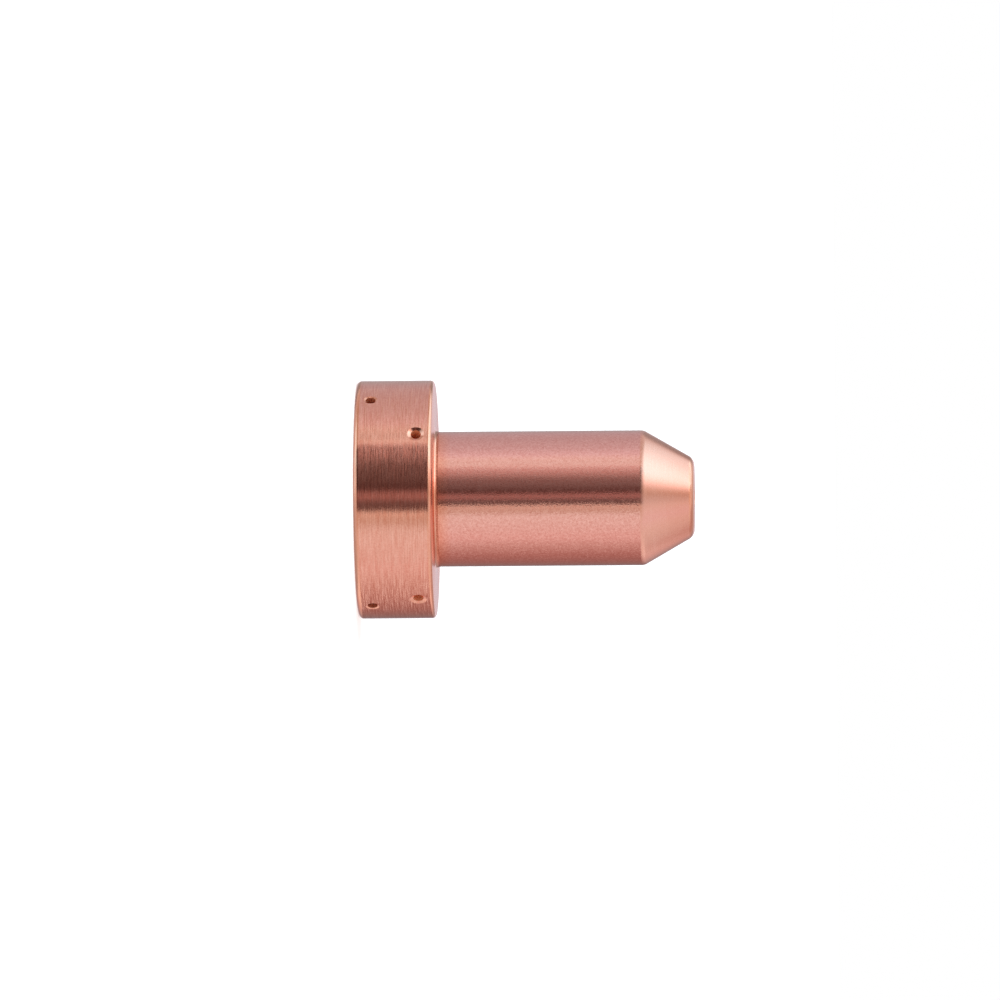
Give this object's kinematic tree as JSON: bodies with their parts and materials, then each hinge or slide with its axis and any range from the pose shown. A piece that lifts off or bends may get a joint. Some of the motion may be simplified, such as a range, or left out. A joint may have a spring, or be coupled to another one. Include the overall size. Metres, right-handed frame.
{
  "type": "plasma torch nozzle",
  "caption": "Turned copper torch nozzle: a thick flanged head with fine radial gas ports in its rim, a long cylindrical barrel and a tapered nose with an arc orifice, hollow inside.",
  "frame": {"origin": "centre of the flat rear face, on the bore axis", "axes": "+Z along the bore axis towards the nose; +Y through one port of the rear row"},
  "size_m": [0.0178, 0.0178, 0.0252],
  "materials": {
    "copper": "turned, fine satin, unplated copper"
  },
  "bodies": {
    "root": {"nozzle": "copper"}
  },
  "joints": []
}
